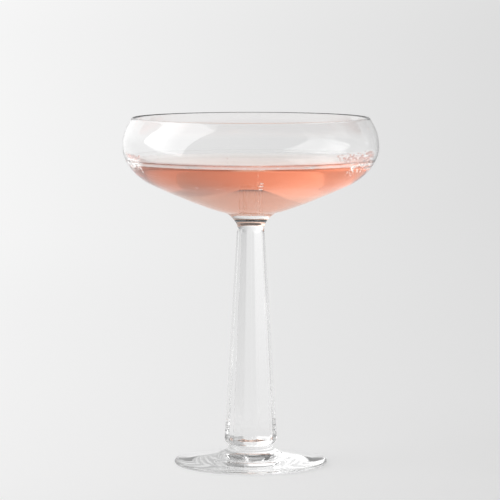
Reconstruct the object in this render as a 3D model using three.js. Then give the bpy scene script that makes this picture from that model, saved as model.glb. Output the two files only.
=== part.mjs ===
// A champagne coupe: a wide shallow bowl on a tall eight-sided stem that widens down to a round foot,
// with a pink sparkling wine in it. Millimetres, +Z up. The origin is under the middle of the foot.
import * as THREE from "three";

// Whole glass
const HEIGHT = 154.6;
const SEGMENTS = 48;
const STEM_SIDES = 8;
const STEM_TURN = THREE.MathUtils.degToRad(3.5);

// Slopes are in degrees from level, measured going up the outside. A pull is the length over which
// a curve holds on to its slope, at its lower end and at its upper end. Steps are the facets up a curve.

// Bowl, outside
const BOWL_RADIUS = 57;
const BOWL_WIDEST_HEIGHT = 141.75;
const RIM_RADIUS = 52.85;
const RIM_SLOPE = 118;
const SHOULDER_RADIUS = 44.5;
const SHOULDER_HEIGHT = 125.1;
const SHOULDER_SLOPE = 25.3;
const CONE_FOOT_RADIUS = 12;
const CONE_FOOT_HEIGHT = 112.4;
const CONE_FOOT_SLOPE = 11.3;
const CONE_PULLS = [7.3, 10.3];
const SIDE_PULLS = [6.4, 7.4];
const BRIM_PULLS = [6.3, 3.4];
const CONE_STEPS = 6;
const SIDE_STEPS = 7;
const BRIM_STEPS = 5;
const LIP_STEPS = 4;

// Bowl, inside. The pulls of the dish in its middle are shares of the dish's radius.
const WALL_AT_RIM = 0.6;
const WALL_AT_CONE = 1.7;
const INSIDE_BOTTOM_HEIGHT = 112.8;
const DISH_PULLS = [0.45, 0.3];
const DISH_STEPS = 4;

// Stem, from the round neck down its straight taper to the waist. The taper's radii are those of its ridges.
const NECK_RADIUS = 6;
const NECK_HEIGHT = 105.9;
const TAPER_TOP_RADIUS = 6.25;
const TAPER_TOP_HEIGHT = 103;
const TAPER_BOTTOM_RADIUS = 11.75;
const TAPER_BOTTOM_HEIGHT = 11.4;
const WAIST_RADIUS = 9.6;
const WAIST_HEIGHT = 8.6;
const FACET_FADE = 1.1;
const COLLAR_PULLS = [2, 2.3];
const NECK_SLOPE = 93;
const NECK_PULLS = [1, 1];
const HEEL_SLOPE = 10;
const HEEL_PULLS = [1.2, 1.3];
const COLLAR_STEPS = 6;
const NECK_STEPS = 3;
const TAPER_STEPS = 4;
const HEEL_STEPS = 5;

// Foot
const FOOT_RADIUS = 34.1;
const FOOT_EDGE_ROUND = 0.85;
const FOOT_HUB_RADIUS = 14;
const FOOT_HUB_HEIGHT = 4.8;
const FOOT_TOP_SLOPE = 171;
const FOOT_TOP_PULLS = [6, 6];
const HUB_SLOPE_OUTSIDE = 168;
const HUB_SLOPE_INSIDE = 162;
const HUB_PULLS = [2.6, 2];
const RESTING_RING_INNER = 28.5;
const UNDERSIDE_RISE = 0.8;
const UNDERSIDE_SLOPE = -4;
const UNDERSIDE_PULLS = [10, 8];
const UNDERSIDE_STEPS = 3;
const FOOT_EDGE_STEPS = 3;
const FOOT_TOP_STEPS = 3;
const HUB_STEPS = 4;

// Wine
const WINE_LEVEL = 134.2;
const MENISCUS_RISE = 0.8;
const MENISCUS_REACH = 2;
const MENISCUS_WIDTH = 6;
const MENISCUS_STEPS = 6;
const WINE_CLEARANCE = 0.3;

function at(radius, height) {
  return new THREE.Vector2(radius, height);
}

function heading(degrees) {
  const angle = THREE.MathUtils.degToRad(degrees);
  return at(Math.cos(angle), Math.sin(angle));
}

// A smooth curve that leaves its start and reaches its end on the given slopes.
function sweep(start, startSlope, end, endSlope, [startPull, endPull]) {
  const leaving = heading(startSlope).multiplyScalar(startPull).add(start);
  const arriving = heading(endSlope).multiplyScalar(-endPull).add(end);
  return new THREE.CubicBezierCurve(start, leaving, arriving, end);
}

// An arc about a centre, anticlockwise from one direction to another, in degrees.
function round(centre, radius, from, to) {
  const start = THREE.MathUtils.degToRad(from);
  const end = THREE.MathUtils.degToRad(to);
  return new THREE.EllipseCurve(centre.x, centre.y, radius, radius, start, end);
}

// Joins curves end to end: each entry is a curve and the number of steps it takes.
function trace(spans) {
  const points = [];
  for (const [curve, steps] of spans) {
    const stretch = curve.getPoints(steps);
    const follows = points.length && points[points.length - 1].distanceTo(stretch[0]) < 0.01;
    points.push(...stretch.slice(follows ? 1 : 0));
  }
  return points;
}

// The lip is a half round over the thickness of the wall.
function lipCurve() {
  const lip = WALL_AT_RIM / 2;
  const outwards = heading(RIM_SLOPE - 90).multiplyScalar(lip);
  const centre = at(RIM_RADIUS - outwards.x, HEIGHT - lip);
  return [round(centre, lip, RIM_SLOPE - 90, RIM_SLOPE + 90), LIP_STEPS];
}

// The outside of the bowl from the foot of its cone up to the lip.
function bowlCurves() {
  const coneFoot = at(CONE_FOOT_RADIUS, CONE_FOOT_HEIGHT);
  const shoulder = at(SHOULDER_RADIUS, SHOULDER_HEIGHT);
  const widest = at(BOWL_RADIUS, BOWL_WIDEST_HEIGHT);
  const [lip] = lipCurve();
  return [
    [sweep(coneFoot, CONE_FOOT_SLOPE, shoulder, SHOULDER_SLOPE, CONE_PULLS), CONE_STEPS],
    [sweep(shoulder, SHOULDER_SLOPE, widest, 90, SIDE_PULLS), SIDE_STEPS],
    [sweep(widest, 90, lip.getPoint(0), RIM_SLOPE, BRIM_PULLS), BRIM_STEPS],
  ];
}

// The inside of the bowl from its middle up to the rim: the outside set in by the wall,
// which thickens down the cone, plus any further clearance.
function insideOfBowl(clearance) {
  const curves = bowlCurves();
  const length = curves.reduce((sum, [curve]) => sum + curve.getLength(), 0);
  const points = [];
  let travelled = 0;
  for (const [curve, steps] of curves) {
    for (let i = points.length ? 1 : 0; i <= steps; i++) {
      const along = (travelled + (curve.getLength() * i) / steps) / length;
      const wall = THREE.MathUtils.lerp(WALL_AT_CONE, WALL_AT_RIM, along) + clearance;
      const tangent = curve.getTangent(i / steps);
      points.push(curve.getPoint(i / steps).add(at(-tangent.y, tangent.x).multiplyScalar(wall)));
    }
    travelled += curve.getLength();
  }
  const bottom = at(0, INSIDE_BOTTOM_HEIGHT + clearance);
  const edge = points[0];
  const pulls = DISH_PULLS.map((share) => share * edge.x);
  const dish = sweep(bottom, 0, edge, CONE_FOOT_SLOPE, pulls);
  return [...dish.getPoints(DISH_STEPS).slice(0, -1), ...points];
}

// How much of the eight sides shows at a height: none at the neck and the waist, all between.
function facetShare(height) {
  const top = 1 - THREE.MathUtils.smoothstep(height, TAPER_TOP_HEIGHT, NECK_HEIGHT);
  const bottom = THREE.MathUtils.smoothstep(height, WAIST_HEIGHT, WAIST_HEIGHT + FACET_FADE);
  return Math.min(top, bottom);
}

// Turns an outline round the upright axis. The seam lies on a ridge of the stem.
function turned(outline) {
  const geometry = new THREE.LatheGeometry(outline, SEGMENTS, STEM_TURN);
  geometry.rotateX(Math.PI / 2);
  return geometry;
}

// Draws the round stem in to eight flat sides, ridge to ridge.
function facet(geometry) {
  const position = geometry.getAttribute("position");
  const panel = (2 * Math.PI) / STEM_SIDES;
  for (let i = 0; i < position.count; i++) {
    const share = facetShare(position.getZ(i));
    const angle = Math.atan2(position.getX(i), -position.getY(i)) - STEM_TURN;
    const fromMiddle = THREE.MathUtils.euclideanModulo(angle + 1e-6, panel) - panel / 2;
    const flat = Math.cos(panel / 2) / Math.cos(fromMiddle);
    const scale = THREE.MathUtils.lerp(1, flat, share);
    position.setX(i, position.getX(i) * scale);
    position.setY(i, position.getY(i) * scale);
  }
  return geometry;
}

// The foot from the middle of its raised underside, over the resting ring and the edge, up to the waist.
function footCurves() {
  const middle = at(0, UNDERSIDE_RISE);
  const ring = at(RESTING_RING_INNER, 0);
  const edge = at(FOOT_RADIUS - FOOT_EDGE_ROUND, FOOT_EDGE_ROUND);
  const edgeArc = round(edge, FOOT_EDGE_ROUND, -90, FOOT_TOP_SLOPE - 90);
  const hub = at(FOOT_HUB_RADIUS, FOOT_HUB_HEIGHT);
  const waist = at(WAIST_RADIUS, WAIST_HEIGHT);
  return [
    [sweep(middle, 0, ring, UNDERSIDE_SLOPE, UNDERSIDE_PULLS), UNDERSIDE_STEPS],
    [new THREE.LineCurve(ring, edgeArc.getPoint(0)), 1],
    [edgeArc, FOOT_EDGE_STEPS],
    [sweep(edgeArc.getPoint(1), FOOT_TOP_SLOPE, hub, HUB_SLOPE_OUTSIDE, FOOT_TOP_PULLS), FOOT_TOP_STEPS],
    [sweep(hub, HUB_SLOPE_INSIDE, waist, 90, HUB_PULLS), HUB_STEPS],
  ];
}

// The stem from the waist, round its heel, up the taper and the neck to the collar under the bowl.
function stemCurves() {
  const waist = at(WAIST_RADIUS, WAIST_HEIGHT);
  const bottom = at(TAPER_BOTTOM_RADIUS, TAPER_BOTTOM_HEIGHT);
  const top = at(TAPER_TOP_RADIUS, TAPER_TOP_HEIGHT);
  const neck = at(NECK_RADIUS, NECK_HEIGHT);
  const coneFoot = at(CONE_FOOT_RADIUS, CONE_FOOT_HEIGHT);
  return [
    [sweep(waist, HEEL_SLOPE, bottom, NECK_SLOPE, HEEL_PULLS), HEEL_STEPS],
    [new THREE.LineCurve(bottom, top), TAPER_STEPS],
    [sweep(top, NECK_SLOPE, neck, 90, NECK_PULLS), NECK_STEPS],
    [sweep(neck, 90, coneFoot, CONE_FOOT_SLOPE, COLLAR_PULLS), COLLAR_STEPS],
  ];
}

function glassOutline() {
  const outside = trace([...footCurves(), ...stemCurves(), ...bowlCurves(), lipCurve()]);
  return [...outside, ...insideOfBowl(0).reverse().slice(1)];
}

// The wine's outline: up the wall to the top of its meniscus, down that to the level, and in to the axis.
function wineOutline() {
  const wall = insideOfBowl(WINE_CLEARANCE);
  const top = WINE_LEVEL + MENISCUS_RISE;
  const above = wall.findIndex((point) => point.y > top);
  const below = wall[above - 1];
  const edge = below.clone().lerp(wall[above], (top - below.y) / (wall[above].y - below.y));
  const meniscus = [];
  for (let i = 1; i < MENISCUS_STEPS; i++) {
    const inwards = MENISCUS_WIDTH * (i / MENISCUS_STEPS) ** 1.5;
    const rise = MENISCUS_RISE * Math.exp(-inwards / MENISCUS_REACH);
    meniscus.push(at(edge.x - inwards, WINE_LEVEL + rise));
  }
  meniscus.push(at(edge.x - MENISCUS_WIDTH, WINE_LEVEL));
  return [...wall.slice(0, above), edge, ...meniscus, at(0, WINE_LEVEL)];
}

function clearGlass() {
  return new THREE.MeshStandardMaterial({
    name: "clear_glass",
    color: 0xf4f6f6,
    roughness: 0.02,
    metalness: 0,
    transparent: true,
    opacity: 0.35,
  });
}

function pinkWine() {
  return new THREE.MeshStandardMaterial({
    name: "pink_wine",
    color: 0xe9a08a,
    roughness: 0.03,
    metalness: 0,
    transparent: true,
    opacity: 0.85,
  });
}

function named(name, geometry, material) {
  const mesh = new THREE.Mesh(geometry, material);
  mesh.name = name;
  return mesh;
}

const glassOfWine = new THREE.Group();
glassOfWine.add(named("glass", facet(turned(glassOutline())), clearGlass()));
glassOfWine.add(named("champagne", turned(wineOutline()), pinkWine()));

export default glassOfWine;
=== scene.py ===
"""A champagne coupe with a pink sparkling wine in it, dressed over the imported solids.

The glass and the wine are drawn ring by ring about the upright axis, from the same outline as the
solids. Outline sizes are in millimetres and angles in degrees; everything in Blender is in metres.
"""

import logging
import math
import random
from dataclasses import dataclass, field
from enum import Enum
from typing import Callable

import bmesh
import bpy
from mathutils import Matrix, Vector


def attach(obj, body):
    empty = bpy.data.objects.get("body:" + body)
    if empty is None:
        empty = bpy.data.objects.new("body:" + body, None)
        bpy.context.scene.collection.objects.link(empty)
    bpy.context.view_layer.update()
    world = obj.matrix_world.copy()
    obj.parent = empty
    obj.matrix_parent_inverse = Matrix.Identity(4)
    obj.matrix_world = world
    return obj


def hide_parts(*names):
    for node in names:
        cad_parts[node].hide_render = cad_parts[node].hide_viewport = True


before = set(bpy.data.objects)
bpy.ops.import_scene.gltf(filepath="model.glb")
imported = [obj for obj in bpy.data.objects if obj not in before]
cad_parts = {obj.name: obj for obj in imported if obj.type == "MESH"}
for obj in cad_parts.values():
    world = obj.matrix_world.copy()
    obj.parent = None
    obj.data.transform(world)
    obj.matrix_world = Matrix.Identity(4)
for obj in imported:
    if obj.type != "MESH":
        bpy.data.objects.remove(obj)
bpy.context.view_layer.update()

MM = 0.001
BODY = "root"
UPRIGHT = 90.0
SHARP_ANGLE = 40.0
SAME_POINT = 0.0001
SAME_HEIGHT = 0.0000001
DOUBLES_DISTANCE = 0.000001
AIR_IOR = 1.0
WINE_IOR = 1.345
WHITE = (1, 1, 1, 1)
HAZE_LIMITS = (0.35, 0.75)
STANDOFF = 1.05
log = logging.getLogger("coupe")


class Slot(Enum):
    """The record's material slots."""

    CLEAR_GLASS = "clear_glass"
    PINK_WINE = "pink_wine"


class Node(Enum):
    """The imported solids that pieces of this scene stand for."""

    GLASS = "glass"
    CHAMPAGNE = "champagne"


def lerp(start: float, end: float, share: float) -> float:
    """Returns the value that lies share of the way from start to end."""
    return start + (end - start) * share


def smoothstep(value: float, low: float, high: float) -> float:
    """Returns 0 below low and 1 above high, with a smooth rise between them."""
    share = min(max((value - low) / (high - low), 0.0), 1.0)
    return share * share * (3 - 2 * share)


def heading(degrees: float) -> Vector:
    """Returns the outline's unit direction at an angle above level."""
    angle = math.radians(degrees)
    return Vector((math.cos(angle), math.sin(angle)))


@dataclass(frozen=True)
class Sweep:
    """A smooth stretch of outline that leaves its start and reaches its end on given slopes.

    Points are (radius, height). A pull is the length over which the curve holds on to its slope.
    """

    start: tuple[float, float]
    start_slope: float
    end: tuple[float, float]
    end_slope: float
    pulls: tuple[float, float]
    steps: int

    def knots(self) -> tuple[Vector, Vector, Vector, Vector]:
        """Returns the two ends and the two handles between them, in order."""
        start, end = Vector(self.start), Vector(self.end)
        leaving = start + heading(self.start_slope) * self.pulls[0]
        arriving = end - heading(self.end_slope) * self.pulls[1]
        return start, leaving, arriving, end

    def point(self, share: float) -> Vector:
        """Finds a point of the stretch.

        Args:
            share: The share of the way along.

        Returns:
            The point.
        """
        a, b, c, d = self.knots()
        rest = 1 - share
        return a * rest**3 + b * 3 * rest**2 * share + c * 3 * rest * share**2 + d * share**3

    def inward(self, share: float) -> Vector:
        """Finds the direction across the stretch.

        Args:
            share: The share of the way along.

        Returns:
            The unit direction that points to the left of the way along.
        """
        a, b, c, d = self.knots()
        rest = 1 - share
        along = (b - a) * rest**2 + (c - b) * 2 * rest * share + (d - c) * share**2
        along.normalize()
        return Vector((-along.y, along.x))

    def points(self) -> list[Vector]:
        """Returns the points of every step, both ends among them."""
        return [self.point(i / self.steps) for i in range(self.steps + 1)]

    def length(self) -> float:
        """Returns the length of the stretch."""
        points = self.points()
        return sum((b - a).length for a, b in zip(points, points[1:]))


def arc(centre: Vector, radius: float, first: float, last: float, steps: int) -> list[Vector]:
    """Draws an arc of the outline.

    Args:
        centre: The middle of the arc.
        radius: Its radius.
        first: The direction in which it starts, in degrees.
        last: The direction in which it ends.
        steps: The number of steps between them.

    Returns:
        The points, both ends among them.
    """
    return [centre + heading(lerp(first, last, i / steps)) * radius for i in range(steps + 1)]


def joined(stretches: list[list[Vector]]) -> list[Vector]:
    """Joins stretches end to end.

    Args:
        stretches: The stretches in order, each with both its ends.

    Returns:
        The stretches as one line, without the points that two of them share.
    """
    line: list[Vector] = []
    for stretch in stretches:
        shared = bool(line) and (line[-1] - stretch[0]).length < SAME_POINT
        line.extend(stretch[1:] if shared else stretch)
    return line


def deselect() -> None:
    """Leaves object mode's selection empty."""
    if bpy.context.object and bpy.context.object.mode != "OBJECT":
        bpy.ops.object.mode_set(mode="OBJECT")
    bpy.ops.object.select_all(action="DESELECT")


def edit_mesh() -> bmesh.types.BMesh:
    """Returns the mesh that is open in edit mode."""
    return bmesh.from_edit_mesh(bpy.context.edit_object.data)


def select_vertices(wanted: Callable[[Vector], bool]) -> None:
    """Selects the vertices in edit mode whose place is wanted, and nothing else.

    Args:
        wanted: Says for a place, in metres, whether its vertex is selected.
    """
    bpy.ops.mesh.select_mode(type="VERT")
    bpy.ops.mesh.select_all(action="DESELECT")
    mesh = edit_mesh()
    for vertex in mesh.verts:
        vertex.select = wanted(vertex.co)
    mesh.select_flush(True)
    bmesh.update_edit_mesh(bpy.context.edit_object.data)


@dataclass
class RingForm:
    """A form drawn in edit mode ring by ring about the upright axis, up and down from a first ring."""

    name: str
    radius: float = 0.0
    height: float = 0.0
    corners: float = 1.0

    def open_with_circle(self, radius: float, height: float, around: int) -> None:
        """Starts the form with a round ring.

        Args:
            radius: The ring's radius.
            height: The ring's height.
            around: The number of its vertices.
        """
        deselect()
        bpy.ops.mesh.primitive_circle_add(
            vertices=around, radius=radius * MM, fill_type="NOTHING", location=(0, 0, height * MM)
        )
        bpy.ops.object.transform_apply(location=True, rotation=True, scale=True)
        bpy.context.object.name = bpy.context.object.data.name = self.name
        bpy.ops.object.mode_set(mode="EDIT")
        bpy.ops.mesh.select_all(action="SELECT")
        self.radius, self.height, self.corners = radius, height, 0.0

    def open_with_polygon(
        self, radius: float, height: float, sides: int, turn: float, ridge: float, cuts: int
    ) -> None:
        """Starts the form with a ring of flat sides whose corners are softened.

        Args:
            radius: The ring's radius at its corners.
            height: The ring's height.
            sides: The number of flat sides.
            turn: How far its first corner is turned from the front, in degrees.
            ridge: The width that each softened corner takes of the two sides beside it.
            cuts: The number of cuts across each flat side.
        """
        deselect()
        bpy.ops.mesh.primitive_circle_add(
            vertices=sides,
            radius=radius * MM,
            fill_type="NGON",
            location=(0, 0, height * MM),
            rotation=(0, 0, math.radians(turn)),
        )
        bpy.ops.object.transform_apply(location=True, rotation=True, scale=True)
        bpy.context.object.name = bpy.context.object.data.name = self.name
        bpy.ops.object.mode_set(mode="EDIT")
        bpy.ops.mesh.select_all(action="SELECT")
        bpy.ops.mesh.bevel(offset=ridge * MM, segments=4, profile=0.5, affect="VERTICES")
        bpy.ops.mesh.select_all(action="SELECT")
        bpy.ops.mesh.delete(type="ONLY_FACE")
        self.cut_long_edges(2 * ridge * MM, cuts)
        self.radius, self.height, self.corners = self.reach(), height, 1.0

    def cut_long_edges(self, longest: float, cuts: int) -> None:
        """Cuts the long edges into pieces of one length, and selects everything.

        Args:
            longest: The length, in metres, up to which an edge stays whole.
            cuts: The number of cuts in each longer edge.
        """
        bpy.ops.mesh.select_mode(type="EDGE")
        bpy.ops.mesh.select_all(action="DESELECT")
        mesh = edit_mesh()
        for edge in mesh.edges:
            edge.select = edge.calc_length() > longest
        bmesh.update_edit_mesh(bpy.context.edit_object.data)
        bpy.ops.mesh.subdivide(number_cuts=cuts)
        bpy.ops.mesh.select_mode(type="VERT")
        bpy.ops.mesh.select_all(action="SELECT")

    def reach(self) -> float:
        """Returns how far the selected vertices reach from the axis."""
        return max(v.co.xy.length for v in edit_mesh().verts if v.select) / MM

    def step(self, radius: float, height: float, corners: float = 0.0) -> None:
        """Extrudes the open ring to its next place.

        Args:
            radius: How far the new ring reaches from the axis.
            height: The new ring's height.
            corners: How much of the first ring's corners shows, from 0, round, to 1.
        """
        centre = (0, 0, height * MM)
        rise = (0, 0, (height - self.height) * MM)
        bpy.ops.mesh.extrude_region_move(TRANSFORM_OT_translate={"value": rise})
        if self.corners > 0 and corners < self.corners:
            rounder = 1 - corners / self.corners
            bpy.ops.transform.tosphere(value=rounder, center_override=centre)
            self.radius, self.corners = self.reach(), corners
        scale = radius / self.radius
        bpy.ops.transform.resize(value=(scale, scale, 1), center_override=centre)
        self.radius, self.height = radius, height

    def close(self, height: float) -> None:
        """Closes the open ring with a fan to one point on the axis.

        Args:
            height: The height of the point.
        """
        rise = (0, 0, (height - self.height) * MM)
        bpy.ops.mesh.extrude_region_move(TRANSFORM_OT_translate={"value": rise})
        bpy.ops.mesh.merge(type="CENTER")

    def return_to(self, radius: float, height: float, corners: float) -> None:
        """Takes up an earlier ring again, which is the only one at its height.

        Args:
            radius: How far it reaches from the axis.
            height: Its height.
            corners: How much of the corners it shows.
        """
        select_vertices(lambda place: abs(place.z - height * MM) < SAME_HEIGHT)
        self.radius, self.height, self.corners = radius, height, corners

    def finish(self) -> bpy.types.Object:
        """Merges doubles, turns the faces outwards, shades them smooth and returns the piece."""
        bpy.ops.mesh.select_all(action="SELECT")
        bpy.ops.mesh.remove_doubles(threshold=DOUBLES_DISTANCE)
        bpy.ops.mesh.normals_make_consistent(inside=False)
        bpy.ops.object.mode_set(mode="OBJECT")
        bpy.ops.object.shade_smooth_by_angle(angle=math.radians(SHARP_ANGLE))
        return bpy.context.object


class Recipe:
    """A node tree with short words for adding nodes and joining them."""

    def __init__(self, tree: bpy.types.NodeTree) -> None:
        """Empties the tree and keeps it."""
        self.tree = tree
        tree.nodes.clear()

    def add(self, kind: str, **values: object) -> bpy.types.Node:
        """Adds a node.

        Args:
            kind: The node's type, without the words ShaderNode.
            **values: Its own settings, by attribute name.

        Returns:
            The node.
        """
        node = self.tree.nodes.new("ShaderNode" + kind)
        for name, value in values.items():
            setattr(node, name, value)
        return node

    def sockets(self, node: bpy.types.Node, values: dict[str | int, object]) -> bpy.types.Node:
        """Sets a node's unlinked inputs.

        Args:
            node: The node.
            values: The values, by the input's name or place.

        Returns:
            The node.
        """
        for name, value in values.items():
            node.inputs[name].default_value = value
        return node

    def join(self, source: bpy.types.NodeSocket, target: bpy.types.NodeSocket) -> None:
        """Links an output to an input."""
        self.tree.links.new(source, target)

    def maths(
        self,
        operation: str,
        first: bpy.types.NodeSocket | float,
        second: bpy.types.NodeSocket | float,
    ) -> bpy.types.NodeSocket:
        """Adds a Math node.

        Args:
            operation: The Math node's operation.
            first: Its first input, as a socket or a number.
            second: Its second input.

        Returns:
            The node's output.
        """
        node = self.add("Math", operation=operation)
        for place, value in enumerate((first, second)):
            if isinstance(value, (int, float)):
                node.inputs[place].default_value = value
            else:
                self.join(value, node.inputs[place])
        return node.outputs[0]

    def ramp(
        self, value: bpy.types.NodeSocket, low: float, high: float, start: float, end: float
    ) -> bpy.types.NodeSocket:
        """Adds a smooth Map Range node.

        Args:
            value: The value to map.
            low: The value at which the result is start.
            high: The value at which the result is end.
            start: The result up to low.
            end: The result from high on.

        Returns:
            The mapped value.
        """
        node = self.add("MapRange", interpolation_type="SMOOTHSTEP")
        self.join(value, node.inputs["Value"])
        limits = {"From Min": low, "From Max": high, "To Min": start, "To Max": end}
        self.sockets(node, limits)
        return node.outputs["Result"]


def material_recipe(name: str) -> tuple[bpy.types.Material, Recipe]:
    """Starts a material.

    Args:
        name: The material's name.

    Returns:
        The material and the recipe of its empty node tree.
    """
    material = bpy.data.materials.new(name)
    material.use_nodes = True
    return material, Recipe(material.node_tree)


class Ripple:
    """The slow waves and fine haze of a blown or poured surface, as a node group that finishes share."""

    NAME = "ripple"

    @classmethod
    def tree(cls) -> bpy.types.NodeTree:
        """Returns the group, built once. It puts out Height and Haze, both from 0 to 1."""
        if cls.NAME in bpy.data.node_groups:
            return bpy.data.node_groups[cls.NAME]
        tree = bpy.data.node_groups.new(cls.NAME, "ShaderNodeTree")
        for name, value in (("Wave Scale", 60.0), ("Haze Scale", 200.0), ("Stretch", 1.0)):
            socket = tree.interface.new_socket(name=name, in_out="INPUT", socket_type="NodeSocketFloat")
            socket.default_value = value
        for name in ("Height", "Haze"):
            tree.interface.new_socket(name=name, in_out="OUTPUT", socket_type="NodeSocketFloat")
        recipe = Recipe(tree)
        given = tree.nodes.new("NodeGroupInput")
        result = tree.nodes.new("NodeGroupOutput")
        place = recipe.add("TexCoord").outputs["Object"]
        stretched = recipe.add("CombineXYZ")
        recipe.sockets(stretched, {"X": 1.0, "Y": 1.0})
        recipe.join(given.outputs["Stretch"], stretched.inputs["Z"])
        scaled = recipe.add("VectorMath", operation="MULTIPLY")
        recipe.join(place, scaled.inputs[0])
        recipe.join(stretched.outputs[0], scaled.inputs[1])
        for name, scale, detail in (("Height", "Wave Scale", 1.0), ("Haze", "Haze Scale", 4.0)):
            noise = recipe.add("TexNoise")
            recipe.sockets(noise, {"Detail": detail, "Roughness": 0.5})
            recipe.join(scaled.outputs[0], noise.inputs["Vector"])
            recipe.join(given.outputs[scale], noise.inputs["Scale"])
            recipe.join(noise.outputs["Fac"], result.inputs[name])
        return tree

    @classmethod
    def place(cls, recipe: Recipe, wave: float, haze: float, stretch: float) -> bpy.types.Node:
        """Puts the group into a material.

        Args:
            recipe: The material's recipe.
            wave: The scale of the slow waves.
            haze: The scale of the fine haze.
            stretch: The scale along the height against that across it.

        Returns:
            The group node.
        """
        node = recipe.add("Group")
        node.node_tree = cls.tree()
        return recipe.sockets(node, {"Wave Scale": wave, "Haze Scale": haze, "Stretch": stretch})


@dataclass(frozen=True)
class ClearSurface:
    """The smooth surface that glass and wine have in common, with its slow waves and trace of haze."""

    ior: float
    wave_scale: float
    haze_scale: float
    wave_height: float
    roughness: tuple[float, float]
    stretch: float = 1.0

    def shader(self, recipe: Recipe) -> bpy.types.Node:
        """Adds the surface's shader.

        Args:
            recipe: The material's recipe.

        Returns:
            The shader, clear and untinted.
        """
        shader = recipe.add("BsdfPrincipled")
        clear = {"Base Color": WHITE, "Metallic": 0.0, "IOR": self.ior, "Transmission Weight": 1.0}
        recipe.sockets(shader, clear)
        ripple = Ripple.place(recipe, self.wave_scale, self.haze_scale, self.stretch)
        haze = recipe.ramp(ripple.outputs["Haze"], *HAZE_LIMITS, *self.roughness)
        bump = recipe.sockets(recipe.add("Bump"), {"Strength": 1.0, "Distance": self.wave_height})
        recipe.join(ripple.outputs["Height"], bump.inputs["Height"])
        recipe.join(bump.outputs["Normal"], shader.inputs["Normal"])
        recipe.join(haze, shader.inputs["Roughness"])
        return shader


@dataclass(frozen=True)
class ClearGlass(ClearSurface):
    """Colourless blown glass, faintly wavy, with a trace of haze from handling."""

    ior: float = 1.5
    wave_scale: float = 55.0
    haze_scale: float = 260.0
    wave_height: float = 0.000008
    roughness: tuple[float, float] = (0.0, 0.02)
    stretch: float = 0.35

    def mirror(self, beyond: float) -> float:
        """Returns the share of light mirrored straight back, from the index of what lies beyond."""
        return ((self.ior - beyond) / (self.ior + beyond)) ** 2

    def material(self, name: str, beyond: float) -> bpy.types.Material:
        """Builds the finish.

        Args:
            name: The material's name.
            beyond: The index of refraction of what lies beyond the surface.

        Returns:
            The material.
        """
        material, recipe = material_recipe(name)
        shader = self.shader(recipe)
        share = self.mirror(beyond) / self.mirror(AIR_IOR)
        recipe.sockets(shader, {"Specular Tint": (share, share, share, 1)})
        recipe.join(shader.outputs[0], recipe.add("OutputMaterial").inputs["Surface"])
        return material


@dataclass(frozen=True)
class PinkWine(ClearSurface):
    """Salmon pink wine whose colour comes from the depth that the light goes through."""

    ior: float = WINE_IOR
    wave_scale: float = 40.0
    haze_scale: float = 300.0
    wave_height: float = 0.000006
    roughness: tuple[float, float] = (0.0, 0.01)
    passed: tuple[float, float, float] = (0.956, 0.387, 0.06)
    density: float = 22.5

    def material(self) -> bpy.types.Material:
        """Builds the finish and returns its material."""
        material, recipe = material_recipe(Slot.PINK_WINE.value)
        shader = self.shader(recipe)
        depth = recipe.add("VolumeAbsorption")
        recipe.sockets(depth, {"Color": (*self.passed, 1), "Density": self.density})
        output = recipe.add("OutputMaterial")
        recipe.join(shader.outputs[0], output.inputs["Surface"])
        recipe.join(depth.outputs[0], output.inputs["Volume"])
        return material


@dataclass(frozen=True)
class BeadSkin:
    """The skin of a clear bead, by how strongly its inside bends light against what is around it.

    Its glow is painted light: it stands for the light that a crowd of such beads passes on among
    themselves.
    """

    name: str
    ior: float
    tint: tuple[float, float, float]
    clearness: float
    glow: float
    roughness: float = 0.02
    wave_scale: float = 800.0
    haze_scale: float = 900.0

    def material(self) -> bpy.types.Material:
        """Builds the finish and returns its material."""
        material, recipe = material_recipe(self.name)
        shader = recipe.add("BsdfPrincipled")
        recipe.sockets(shader, {
            "Metallic": 0.0,
            "IOR": self.ior,
            "Roughness": self.roughness,
            "Transmission Weight": self.clearness,
            # Painted light: a white glow on every bead.
            "Emission Color": WHITE,
            "Emission Strength": self.glow,
        })
        ripple = Ripple.place(recipe, self.wave_scale, self.haze_scale, 1.0)
        tint = recipe.add("Mix", data_type="RGBA")
        recipe.sockets(tint, {"A": WHITE, "B": (*self.tint, 1)})
        recipe.join(ripple.outputs["Haze"], tint.inputs["Factor"])
        recipe.join(tint.outputs["Result"], shader.inputs["Base Color"])
        recipe.join(shader.outputs[0], recipe.add("OutputMaterial").inputs["Surface"])
        return material


GAS_IN_WINE = BeadSkin("gas_in_wine", AIR_IOR / WINE_IOR, (1.0, 0.97, 0.95), 0.6, 0.20)
WINE_DROP = BeadSkin("wine_drop", WINE_IOR, (1.0, 0.50, 0.40), 0.7, 0.08)


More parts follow.
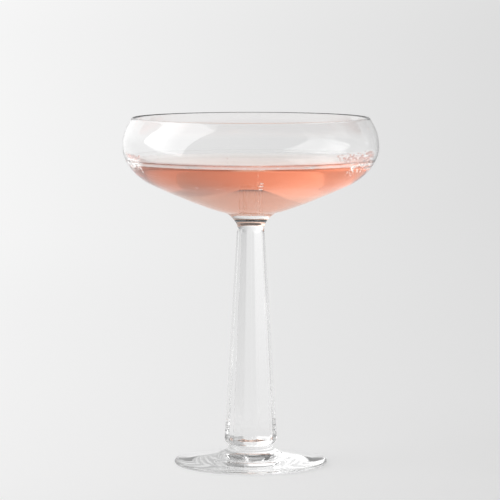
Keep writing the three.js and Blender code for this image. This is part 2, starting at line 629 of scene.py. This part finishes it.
@dataclass(frozen=True)
class Bowl:
    """The bowl's sizes and outline, from the foot of its cone to the lip and back inside."""

    height: float = 154.6
    widest: tuple[float, float] = (57.0, 141.75)
    rim_radius: float = 52.85
    rim_slope: float = 118.0
    shoulder: tuple[float, float] = (44.5, 125.1)
    shoulder_slope: float = 25.3
    cone_foot: tuple[float, float] = (12.0, 112.4)
    cone_foot_slope: float = 11.3
    cone_pulls: tuple[float, float] = (7.3, 10.3)
    side_pulls: tuple[float, float] = (6.4, 7.4)
    brim_pulls: tuple[float, float] = (6.3, 3.4)
    wall_at_rim: float = 0.6
    wall_at_cone: float = 1.7
    inside_bottom: float = 112.8
    dish_pulls: tuple[float, float] = (0.45, 0.3)
    steps: tuple[int, int, int] = (16, 22, 12)
    lip_steps: int = 8
    dish_steps: int = 12

    def lip(self) -> list[Vector]:
        """Returns the half round of the lip, from the outside to the inside."""
        half = self.wall_at_rim / 2
        outwards = heading(self.rim_slope - UPRIGHT) * half
        centre = Vector((self.rim_radius - outwards.x, self.height - half))
        return arc(centre, half, self.rim_slope - UPRIGHT, self.rim_slope + UPRIGHT, self.lip_steps)

    def stretches(self) -> list[Sweep]:
        """Returns the cone, the side and the brim of the outside."""
        cone, side, brim = self.steps
        foot, shoulder, lip = self.cone_foot, self.shoulder, tuple(self.lip()[0])
        return [
            Sweep(foot, self.cone_foot_slope, shoulder, self.shoulder_slope, self.cone_pulls, cone),
            Sweep(shoulder, self.shoulder_slope, self.widest, UPRIGHT, self.side_pulls, side),
            Sweep(self.widest, UPRIGHT, lip, self.rim_slope, self.brim_pulls, brim),
        ]

    def outside(self) -> list[Vector]:
        """Returns the outside from the foot of the cone up to the lip."""
        return joined([stretch.points() for stretch in self.stretches()])

    def inside(self, clearance: float) -> list[Vector]:
        """Draws the inside from its middle up to the rim.

        Args:
            clearance: How far the line stands off the wall's inner face; below 0 it lies in the wall.

        Returns:
            The points. The first one lies on the axis.
        """
        stretches = self.stretches()
        whole = sum(stretch.length() for stretch in stretches)
        points: list[Vector] = []
        travelled = 0.0
        for stretch in stretches:
            for i in range(1 if points else 0, stretch.steps + 1):
                share = i / stretch.steps
                along = (travelled + stretch.length() * share) / whole
                wall = lerp(self.wall_at_cone, self.wall_at_rim, along) + clearance
                points.append(stretch.point(share) + stretch.inward(share) * wall)
            travelled += stretch.length()
        edge = points[0]
        pulls = (self.dish_pulls[0] * edge.x, self.dish_pulls[1] * edge.x)
        bottom = (0.0, self.inside_bottom + clearance)
        dish = Sweep(bottom, 0.0, tuple(edge), self.cone_foot_slope, pulls, self.dish_steps)
        return joined([dish.points(), points])

    def inside_up_to(self, height: float, clearance: float) -> list[Vector]:
        """Draws the inside as far as a height below the widest ring.

        Args:
            height: The height at which it ends.
            clearance: How far the line stands off the wall's inner face.

        Returns:
            The points, the last of them at the height.
        """
        line = self.inside(clearance)
        above = next(i for i, point in enumerate(line) if point.y > height)
        below = line[above - 1]
        share = (height - below.y) / (line[above].y - below.y)
        return [*line[:above], below.lerp(line[above], share)]

    def on_wall(self, bearing: float, height: float, inset: float) -> Vector:
        """Finds a place on the inside of the wall.

        Args:
            bearing: The angle from the front towards the right, in degrees.
            height: The height of the place.
            inset: How far it stands off the wall.

        Returns:
            The place in three dimensions, in millimetres.
        """
        radius = self.inside_up_to(height, inset)[-1].x
        angle = math.radians(bearing)
        return Vector((radius * math.sin(angle), -radius * math.cos(angle), height))


@dataclass(frozen=True)
class Stem:
    """The stem's sizes and outline, from the waist over the heel and the taper to the collar."""

    waist: tuple[float, float] = (9.6, 8.6)
    taper_bottom: tuple[float, float] = (11.75, 11.4)
    taper_top: tuple[float, float] = (6.25, 103.0)
    neck: tuple[float, float] = (6.0, 105.9)
    sides: int = 8
    turn: float = 3.5
    ridge: float = 0.3
    cuts: int = 11
    facet_fade: float = 1.1
    heel_slope: float = 10.0
    heel_pulls: tuple[float, float] = (1.2, 1.3)
    taper_slope: float = 93.0
    neck_pulls: tuple[float, float] = (1.0, 1.0)
    collar_pulls: tuple[float, float] = (2.0, 2.3)
    heel_steps: int = 10
    taper_steps: int = 10
    neck_steps: int = 6
    collar_steps: int = 16

    def corners(self, height: float) -> float:
        """Says how much of the flat sides shows: all of them on the taper, none at neck and waist.

        Args:
            height: The height.

        Returns:
            The share, from 0 to 1.
        """
        top = 1 - smoothstep(height, self.taper_top[1], self.neck[1])
        bottom = smoothstep(height, self.waist[1], self.waist[1] + self.facet_fade)
        return min(top, bottom)

    def heel(self) -> list[Vector]:
        """Returns the outline from the waist to the bottom of the taper."""
        start, end = self.waist, self.taper_bottom
        pulls, steps = self.heel_pulls, self.heel_steps
        return Sweep(start, self.heel_slope, end, self.taper_slope, pulls, steps).points()

    def above_heel(self, bowl: Bowl) -> list[Vector]:
        """Draws the taper, the neck and the collar.

        Args:
            bowl: The bowl that the collar runs into.

        Returns:
            The outline from the bottom of the taper to the foot of the bowl's cone.
        """
        bottom, top = Vector(self.taper_bottom), Vector(self.taper_top)
        taper = [bottom.lerp(top, i / self.taper_steps) for i in range(self.taper_steps + 1)]
        pulls, steps = self.neck_pulls, self.neck_steps
        neck = Sweep(self.taper_top, self.taper_slope, self.neck, UPRIGHT, pulls, steps)
        pulls, steps = self.collar_pulls, self.collar_steps
        collar = Sweep(self.neck, UPRIGHT, bowl.cone_foot, bowl.cone_foot_slope, pulls, steps)
        return joined([taper, neck.points(), collar.points()])


@dataclass(frozen=True)
class Foot:
    """The foot's sizes and outline, from the middle of its underside to the waist."""

    radius: float = 34.1
    edge_round: float = 0.85
    hub: tuple[float, float] = (14.0, 4.8)
    top_slope: float = 171.0
    top_pulls: tuple[float, float] = (6.0, 6.0)
    hub_slope_outside: float = 168.0
    hub_slope_inside: float = 162.0
    hub_pulls: tuple[float, float] = (2.6, 2.0)
    resting_ring_inner: float = 28.5
    underside_rise: float = 0.8
    underside_slope: float = -4.0
    underside_pulls: tuple[float, float] = (10.0, 8.0)
    steps: tuple[int, int, int, int] = (24, 8, 24, 16)

    def outline(self, stem: Stem) -> list[Vector]:
        """Draws the foot.

        Args:
            stem: The stem that stands on its hub.

        Returns:
            The outline from the axis under the foot to the stem's waist.
        """
        under, edge, top, hub = self.steps
        middle, ring = (0.0, self.underside_rise), (self.resting_ring_inner, 0.0)
        underside = Sweep(middle, 0.0, ring, self.underside_slope, self.underside_pulls, under)
        centre = Vector((self.radius - self.edge_round, self.edge_round))
        rounding = arc(centre, self.edge_round, -UPRIGHT, self.top_slope - UPRIGHT, edge)
        start = tuple(rounding[-1])
        upper = Sweep(start, self.top_slope, self.hub, self.hub_slope_outside, self.top_pulls, top)
        rise = Sweep(self.hub, self.hub_slope_inside, stem.waist, UPRIGHT, self.hub_pulls, hub)
        return joined([underside.points(), rounding, upper.points(), rise.points()])


@dataclass
class Coupe:
    """The whole glass: a foot, a stem with flat sides and a bowl, in one piece."""

    bowl: Bowl = field(default_factory=Bowl)
    stem: Stem = field(default_factory=Stem)
    foot: Foot = field(default_factory=Foot)
    finish: ClearGlass = field(default_factory=ClearGlass)
    wetted_height: float = 136.3
    bottom_margin: float = 0.1
    name: str = "coupe"

    def draw(self) -> bpy.types.Object:
        """Draws the glass from the bottom of its taper up over the lip, and down over the foot."""
        first = Vector(self.stem.taper_bottom)
        form = RingForm(self.name)
        form.open_with_polygon(
            first.x, first.y, self.stem.sides, self.stem.turn, self.stem.ridge, self.stem.cuts
        )
        first_reach = form.radius
        over = joined([self.stem.above_heel(self.bowl), self.bowl.outside(), self.bowl.lip()])
        inside = self.bowl.inside(0.0)
        upwards = joined([over, inside[::-1]])
        for point in upwards[1:-1]:
            form.step(point.x, point.y, self.stem.corners(point.y))
        form.close(upwards[-1].y)
        form.return_to(first_reach, first.y, 1.0)
        downwards = joined([self.foot.outline(self.stem), self.stem.heel()])[::-1]
        for point in downwards[1:-1]:
            form.step(point.x, point.y, self.stem.corners(point.y))
        form.close(downwards[-1].y)
        return form.finish()

    def build(self) -> bpy.types.Object:
        """Draws and dresses the glass and puts it in the place of its solid."""
        piece = self.draw()
        piece.data.materials.append(self.finish.material(Slot.CLEAR_GLASS.value, AIR_IOR))
        piece.data.materials.append(self.finish.material("wetted_glass", WINE_IOR))
        lowest = self.bowl.inside_bottom - self.bottom_margin
        for face in piece.data.polygons:
            at_wine = lowest < face.center.z / MM < self.wetted_height
            face.material_index = int(at_wine and face.normal.z > 0)
        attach(piece, BODY)
        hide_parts(Node.GLASS.value)
        return piece


@dataclass
class Wine:
    """The wine up to its level, with the rim that it draws up the wall."""

    bowl: Bowl = field(default_factory=Bowl)
    finish: PinkWine = field(default_factory=PinkWine)
    film_top: float = 136.5
    film_shoulder: float = 136.1
    film_thickness: float = 0.12
    rim_height: float = 135.0
    rim_slope: float = 20.0
    capillary_length: float = 2.3
    flattest_slope: float = 1.0
    rim_steps: int = 18
    flat_steps: int = 8
    into_wall: float = 0.15
    around: int = 128
    name: str = "sparkling_wine"

    def rise(self, slope: float) -> float:
        """Returns how far above its level the wine's surface stands where it has this slope."""
        return 2 * self.capillary_length * math.sin(math.radians(slope) / 2)

    def run(self, slope: float) -> float:
        """Returns the distance, up to a constant, in from the wall to where the surface has this slope."""
        half = math.radians(slope) / 2
        return self.capillary_length * (math.acosh(1 / math.sin(half)) - 2 * math.cos(half))

    def level(self) -> float:
        """Returns the height of the flat part of the surface."""
        return self.rim_height - self.rise(self.rim_slope)

    def film(self) -> list[Vector]:
        """Returns the line over the thin film on the wall, from its upper edge to the wine's rim."""
        edge = self.bowl.inside_up_to(self.film_top, 0.0)[-1]
        shoulder = self.bowl.inside_up_to(self.film_shoulder, self.film_thickness)[-1]
        rim = self.bowl.inside_up_to(self.rim_height, self.film_thickness)[-1]
        return [edge, edge.lerp(shoulder, 0.5), shoulder, shoulder.lerp(rim, 0.5), rim]

    def surface(self, rim: Vector) -> list[Vector]:
        """Draws the wine's surface.

        Args:
            rim: The top of the wine's rim.

        Returns:
            The line from below the rim down and in to the axis.
        """
        slopes = [
            lerp(self.rim_slope, self.flattest_slope, i / self.rim_steps)
            for i in range(1, self.rim_steps + 1)
        ]
        start = self.run(self.rim_slope)
        curve = [
            Vector((rim.x - (self.run(slope) - start), self.level() + self.rise(slope)))
            for slope in slopes
        ]
        inner = curve[-1].x
        flat = [
            Vector((inner * (1 - i / self.flat_steps), self.level()))
            for i in range(1, self.flat_steps + 1)
        ]
        return [*curve, *flat]

    def build(self) -> bpy.types.Object:
        """Draws and dresses the wine and puts it in the place of its solid."""
        wetted = self.bowl.inside_up_to(self.film_top + self.into_wall, -self.into_wall)
        film = self.film()
        outline = [*wetted, *film, *self.surface(film[-1])]
        form = RingForm(self.name)
        form.open_with_circle(outline[1].x, outline[1].y, self.around)
        for point in outline[2:-1]:
            form.step(point.x, point.y)
        form.close(outline[-1].y)
        form.return_to(outline[1].x, outline[1].y, 0.0)
        form.close(outline[0].y)
        piece = form.finish()
        piece.data.materials.append(self.finish.material())
        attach(piece, BODY)
        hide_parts(Node.CHAMPAGNE.value)
        return piece


@dataclass(frozen=True)
class Bead:
    """One bubble or drop, by its middle, its half width and its half height, in millimetres."""

    middle: Vector
    half_width: float
    half_height: float


@dataclass(frozen=True)
class WallPatch:
    """A stretch of the bowl's wall with beads on it. Bearings are from the front towards the right.

    The larger the rarity, the fewer of the beads are large.
    """

    bearings: tuple[float, float]
    heights: tuple[float, float]
    radii: tuple[float, float]
    count: int
    rarity: float = 1.8
    flatness: tuple[float, float] = (0.8, 1.0)

    def beads(self, bowl: Bowl, draw: random.Random) -> list[Bead]:
        """Scatters the patch's beads, most of them small and near its middle height.

        Args:
            bowl: The bowl whose wall they cling to.
            draw: The seeded source of the scatter.

        Returns:
            The beads.
        """
        scattered = []
        for _ in range(self.count):
            radius = lerp(*self.radii, draw.random() ** self.rarity)
            bearing = lerp(*self.bearings, draw.random())
            height = draw.triangular(*self.heights)
            middle = bowl.on_wall(bearing, height, STANDOFF * radius)
            scattered.append(Bead(middle, radius, radius * draw.uniform(*self.flatness)))
        return scattered


@dataclass
class Beads:
    """A crowd of clear beads in one piece."""

    name: str
    finish: BeadSkin
    beads: list[Bead]
    around: int = 10
    rings: int = 7
    crown: float = 0.88
    crown_from: float = 0.3

    def model(self) -> bpy.types.Object:
        """Models the bead that all of them repeat: a ball, a little flatter at its crown."""
        deselect()
        bpy.ops.mesh.primitive_uv_sphere_add(segments=self.around, ring_count=self.rings, radius=MM)
        bpy.ops.object.mode_set(mode="EDIT")
        select_vertices(lambda place: place.z > self.crown_from * MM)
        bpy.ops.transform.resize(value=(1.0, 1.0, self.crown), center_override=(0, 0, 0))
        bpy.ops.object.mode_set(mode="OBJECT")
        bpy.ops.object.shade_smooth()
        return bpy.context.object

    def build(self) -> bpy.types.Object:
        """Copies the bead to every place, joins the copies and dresses the piece."""
        model = self.model()
        copies = []
        for bead in self.beads:
            copy = model.copy()
            copy.data = model.data.copy()
            copy.location = bead.middle * MM
            copy.scale = (bead.half_width, bead.half_width, bead.half_height)
            bpy.context.scene.collection.objects.link(copy)
            copies.append(copy)
        bpy.data.objects.remove(model)
        deselect()
        for copy in copies:
            copy.select_set(True)
        bpy.context.view_layer.objects.active = copies[0]
        bpy.ops.object.join()
        bpy.ops.object.transform_apply(location=True, rotation=True, scale=True)
        piece = bpy.context.object
        piece.name = piece.data.name = self.name
        piece.data.materials.append(self.finish.material())
        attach(piece, BODY)
        return piece


@dataclass(frozen=True)
class Sparkle:
    """The bubbles in the wine, the froth at its edge and the drops on the wall above it."""

    bowl: Bowl = field(default_factory=Bowl)
    seed: int = 7
    froth: tuple[WallPatch, ...] = (
        WallPatch((-84.0, -62.0), (132.0, 138.6), (0.20, 0.60), 200),
        WallPatch((52.0, 80.0), (131.0, 136.2), (0.20, 0.60), 110),
        WallPatch((-57.0, 52.0), (134.6, 136.2), (0.12, 0.30), 60),
        WallPatch((-32.0, -16.0), (125.5, 127.6), (0.12, 0.28), 12),
        WallPatch((90.0, 270.0), (133.0, 136.0), (0.12, 0.32), 90),
    )
    spray: tuple[WallPatch, ...] = (
        WallPatch((42.0, 74.0), (136.6, 141.2), (0.20, 0.48), 120),
        WallPatch((-84.0, -60.0), (136.6, 139.6), (0.22, 0.52), 90),
        WallPatch((-12.0, -7.0), (136.6, 140.6), (0.12, 0.25), 7),
    )
    stack: tuple[tuple[float, float, float], ...] = (
        (129.2, 0.9, 0.40),
        (128.1, 1.1, 0.50),
        (126.9, 1.0, 0.45),
    )
    stack_bearing: float = 5.6
    thread_heights: tuple[float, float] = (114.4, 126.0)
    thread_count: int = 26
    thread_radius: float = 0.09
    thread_sizes: tuple[float, float] = (0.7, 1.3)
    trail_heights: tuple[float, float] = (113.6, 133.6)
    trail_count: int = 26
    trail_radii: tuple[float, float] = (0.07, 0.22)
    trail_place: tuple[float, float] = (2.6, 0.4)
    trail_sway: float = 0.15
    trail_spread: float = 1.3

    def rising(self, draw: random.Random) -> list[Bead]:
        """Places the thin stream that rises near the middle, larger and wider spaced towards the top.

        Args:
            draw: The seeded source of the sway.

        Returns:
            The beads.
        """
        stream = []
        for i in range(self.trail_count):
            share = i / (self.trail_count - 1)
            radius = lerp(*self.trail_radii, share)
            sway = self.trail_sway
            x, y = (place + draw.uniform(-sway, sway) for place in self.trail_place)
            height = lerp(*self.trail_heights, share**self.trail_spread)
            stream.append(Bead(Vector((x, y, height)), radius, radius))
        return stream

    def thread(self, draw: random.Random) -> list[Bead]:
        """Places the fine beads on the wall below the stack, one above the other.

        Args:
            draw: The seeded source of their sizes.

        Returns:
            The beads.
        """
        top = self.bowl.on_wall(self.stack_bearing, self.thread_heights[1], self.thread_radius)
        beads = []
        for i in range(self.thread_count):
            height = lerp(*self.thread_heights, i / (self.thread_count - 1))
            radius = self.thread_radius * draw.uniform(*self.thread_sizes)
            out = self.bowl.inside_up_to(height, 2 * radius)[-1].x
            front = -math.sqrt(out**2 - top.x**2)
            beads.append(Bead(Vector((top.x, front, height)), radius, radius))
        return beads

    def stacked(self) -> list[Bead]:
        """Returns the few large bubbles that sit over each other on the front of the wall."""
        return [
            Bead(self.bowl.on_wall(self.stack_bearing, height, STANDOFF * wide), wide, tall)
            for height, wide, tall in self.stack
        ]

    def crowds(self) -> list[Beads]:
        """Returns the pieces that the beads make up."""
        draw = random.Random(self.seed)
        froth = [bead for patch in self.froth for bead in patch.beads(self.bowl, draw)]
        spray = [bead for patch in self.spray for bead in patch.beads(self.bowl, draw)]
        stream = self.rising(draw) + self.thread(draw) + self.stacked()
        return [
            Beads("froth", GAS_IN_WINE, froth),
            Beads("rising_bubbles", GAS_IN_WINE, stream),
            Beads("spray", WINE_DROP, spray),
        ]


@dataclass(frozen=True)
class SweepPaintedLight:
    """Painted light of the round sweep, which glows: paler to the left and above, darker to the right and
    in front.
    """

    level: float = 0.82
    fall: float = 0.57
    fall_with_depth: float = -0.12
    darkest: float = 0.30
    brightest: float = 1.15
    # Painted shade: the glow of the sweep in front of the glass.
    front: float = 0.28
    front_depths: tuple[float, float] = (-0.7, -0.12)
    gain_above: float = 1.12
    gain_heights: tuple[float, float] = (0.15, 0.35)
    matt_share: float = 0.35
    floor_glow: float = 0.72
    floor_reach: tuple[float, float] = (0.35, 1.2)

    def material(self) -> bpy.types.Material:
        """Builds the sweep's glow of painted light and returns its material."""
        material, recipe = material_recipe("sweep_painted_light")
        place = recipe.add("SeparateXYZ")
        recipe.join(recipe.add("TexCoord").outputs["Object"], place.inputs[0])
        x, y = place.outputs["X"], place.outputs["Y"]
        # Painted light: the glow falls off to the right, less steeply further back, between a darkest and
        # a brightest value.
        fall = recipe.maths("ADD", recipe.maths("MULTIPLY", y, self.fall_with_depth), self.fall)
        light = recipe.maths("SUBTRACT", self.level, recipe.maths("MULTIPLY", x, fall))
        light = recipe.maths("MINIMUM", recipe.maths("MAXIMUM", light, self.darkest), self.brightest)
        # Painted shade: towards the front the glow is drawn down to the front's value.
        nearness = recipe.ramp(y, *self.front_depths, 1.0, 0.0)
        behind = recipe.maths("MULTIPLY", recipe.maths("SUBTRACT", self.front, light), nearness)
        light = recipe.maths("ADD", light, behind)
        # Painted light: the glow is stronger higher up.
        gain = recipe.ramp(place.outputs["Z"], *self.gain_heights, 1.0, self.gain_above)
        light = recipe.maths("MULTIPLY", light, gain)
        # Near the glass part of the glow gives way to a matt share, which takes real light and shade from
        # the lamps.
        away = recipe.add("VectorMath", operation="LENGTH")
        recipe.join(recipe.add("TexCoord").outputs["Object"], away.inputs[0])
        around = recipe.ramp(away.outputs["Value"], *self.floor_reach, 1.0, 0.0)
        glow_share = recipe.maths("ADD", recipe.maths("MULTIPLY", around, self.floor_glow - 1), 1.0)
        glow = recipe.add("Emission")
        recipe.join(recipe.maths("MULTIPLY", light, glow_share), glow.inputs["Strength"])
        matt = recipe.add("BsdfDiffuse")
        grey = recipe.add("CombineColor")
        shade = recipe.maths("MULTIPLY", around, self.matt_share)
        for channel in range(3):
            recipe.join(shade, grey.inputs[channel])
        recipe.join(grey.outputs[0], matt.inputs["Color"])
        both = recipe.add("AddShader")
        recipe.join(glow.outputs[0], both.inputs[0])
        recipe.join(matt.outputs[0], both.inputs[1])
        recipe.join(both.outputs[0], recipe.add("OutputMaterial").inputs["Surface"])
        return material


@dataclass(frozen=True)
class Softbox:
    """A large rectangular lamp. Its turn is about X, Y and Z, in degrees."""

    name: str
    middle: tuple[float, float, float]
    turn: tuple[float, float, float]
    size: tuple[float, float]
    radiance: float

    def build(self) -> bpy.types.Object:
        """Adds the lamp. A white surface looks as bright as its face where the radiance is 1."""
        lamp = bpy.data.lights.new(self.name, "AREA")
        lamp.shape = "RECTANGLE"
        lamp.size, lamp.size_y = self.size
        lamp.energy = self.radiance * self.size[0] * self.size[1] * math.pi
        holder = bpy.data.objects.new(self.name, lamp)
        bpy.context.scene.collection.objects.link(holder)
        holder.location = self.middle
        holder.rotation_euler = [math.radians(angle) for angle in self.turn]
        holder.visible_camera = False
        return holder


LEFT_SOFTBOX = Softbox("left_softbox", (-0.804, 0.002, 0.544), (98.0, 16.0, -41.5), (1.106, 0.806), 1.8)


@dataclass
class Studio:
    """A round pale sweep of floor and wall that glows with painted light, its soft lights, and the camera.
    """

    softboxes: tuple[Softbox, ...] = (LEFT_SOFTBOX,)
    painted_light: SweepPaintedLight = field(default_factory=SweepPaintedLight)
    around: int = 96
    floor_rings: int = 6
    floor_radius: float = 1.5
    floor_edge: float = 0.999
    bend_steps: int = 8
    wall_radius: float = 2.0
    wall_height: float = 2.6
    below: float = 0.0002
    ceiling: float = 0.15
    camera_place: tuple[float, float, float] = (-0.00032, -1.2786, 0.2146)
    camera_pitch: float = 5.32
    focal_pixels: float = 2884.65
    picture_pixels: float = 500.0
    sensor: float = 36.0

    def sweep(self) -> bpy.types.Object:
        """Builds the floor and the wall around it in one smooth surface."""
        deselect()
        bpy.ops.mesh.primitive_circle_add(
            vertices=self.around,
            radius=self.floor_radius,
            fill_type="NGON",
            location=(0, 0, -self.below),
        )
        bpy.ops.object.transform_apply(location=True, rotation=True, scale=True)
        piece = bpy.context.object
        piece.name = piece.data.name = "studio_sweep"
        bpy.ops.object.mode_set(mode="EDIT")
        bpy.ops.mesh.select_all(action="SELECT")
        for _ in range(self.floor_rings):
            bpy.ops.mesh.inset(thickness=self.floor_radius / (self.floor_rings + 2))
        select_vertices(lambda place: place.xy.length > self.floor_radius * self.floor_edge)
        bend = self.wall_radius - self.floor_radius
        turns = [i * math.pi / 2 / self.bend_steps for i in range(1, self.bend_steps + 1)]
        rings = [
            (self.floor_radius + bend * math.sin(turn), bend * (1 - math.cos(turn)) - self.below)
            for turn in turns
        ]
        rings.append((self.wall_radius, self.wall_height))
        radius, height = self.floor_radius, -self.below
        for next_radius, next_height in rings:
            rise = (0, 0, next_height - height)
            bpy.ops.mesh.extrude_region_move(TRANSFORM_OT_translate={"value": rise})
            scale = next_radius / radius
            centre = (0, 0, next_height)
            bpy.ops.transform.resize(value=(scale, scale, 1), center_override=centre)
            radius, height = next_radius, next_height
        bpy.ops.mesh.select_all(action="SELECT")
        bpy.ops.mesh.normals_make_consistent(inside=True)
        bpy.ops.object.mode_set(mode="OBJECT")
        bpy.ops.object.shade_smooth()
        # The sweep glows with painted light: paler to the left and above, darker to the right and in
        # front.
        piece.data.materials.append(self.painted_light.material())
        return piece

    def lights(self) -> None:
        """Adds the softboxes and the ceiling's light."""
        for softbox in self.softboxes:
            softbox.build()
        world = bpy.data.worlds.new("ceiling")
        world.use_nodes = True
        background = world.node_tree.nodes["Background"]
        background.inputs["Color"].default_value = WHITE
        background.inputs["Strength"].default_value = self.ceiling
        bpy.context.scene.world = world

    def camera(self) -> bpy.types.Object:
        """Adds the camera at the picture's viewing angle."""
        data = bpy.data.cameras.new("camera")
        data.sensor_width = self.sensor
        data.lens = self.focal_pixels / self.picture_pixels * self.sensor
        data.clip_start, data.clip_end = 0.01, 20.0
        holder = bpy.data.objects.new("camera", data)
        bpy.context.scene.collection.objects.link(holder)
        holder.location = self.camera_place
        holder.rotation_euler = (math.radians(90 - self.camera_pitch), 0, 0)
        bpy.context.scene.camera = holder
        return holder

    def look(self) -> None:
        """Sets plain colours and enough bounces for light to pass through glass and wine."""
        scene = bpy.context.scene
        scene.view_settings.view_transform = "Standard"
        scene.view_settings.look = "None"
        scene.cycles.max_bounces = 40
        scene.cycles.transmission_bounces = 32
        scene.cycles.glossy_bounces = 16
        scene.cycles.transparent_max_bounces = 32
        scene.cycles.sample_clamp_indirect = 4.0

    def build(self) -> None:
        """Builds the sweep, the lights and the camera."""
        self.sweep()
        self.lights()
        self.camera()
        self.look()


def main() -> None:
    """Builds every sub-assembly in order and reports each piece."""
    logging.basicConfig(level=logging.INFO, format="%(message)s")
    Studio().build()
    for maker in (Coupe(), Wine(), *Sparkle().crowds()):
        piece = maker.build()
        log.info("%s: %d faces", piece.name, len(piece.data.polygons))
    deselect()


if __name__ == "__main__":
    main()
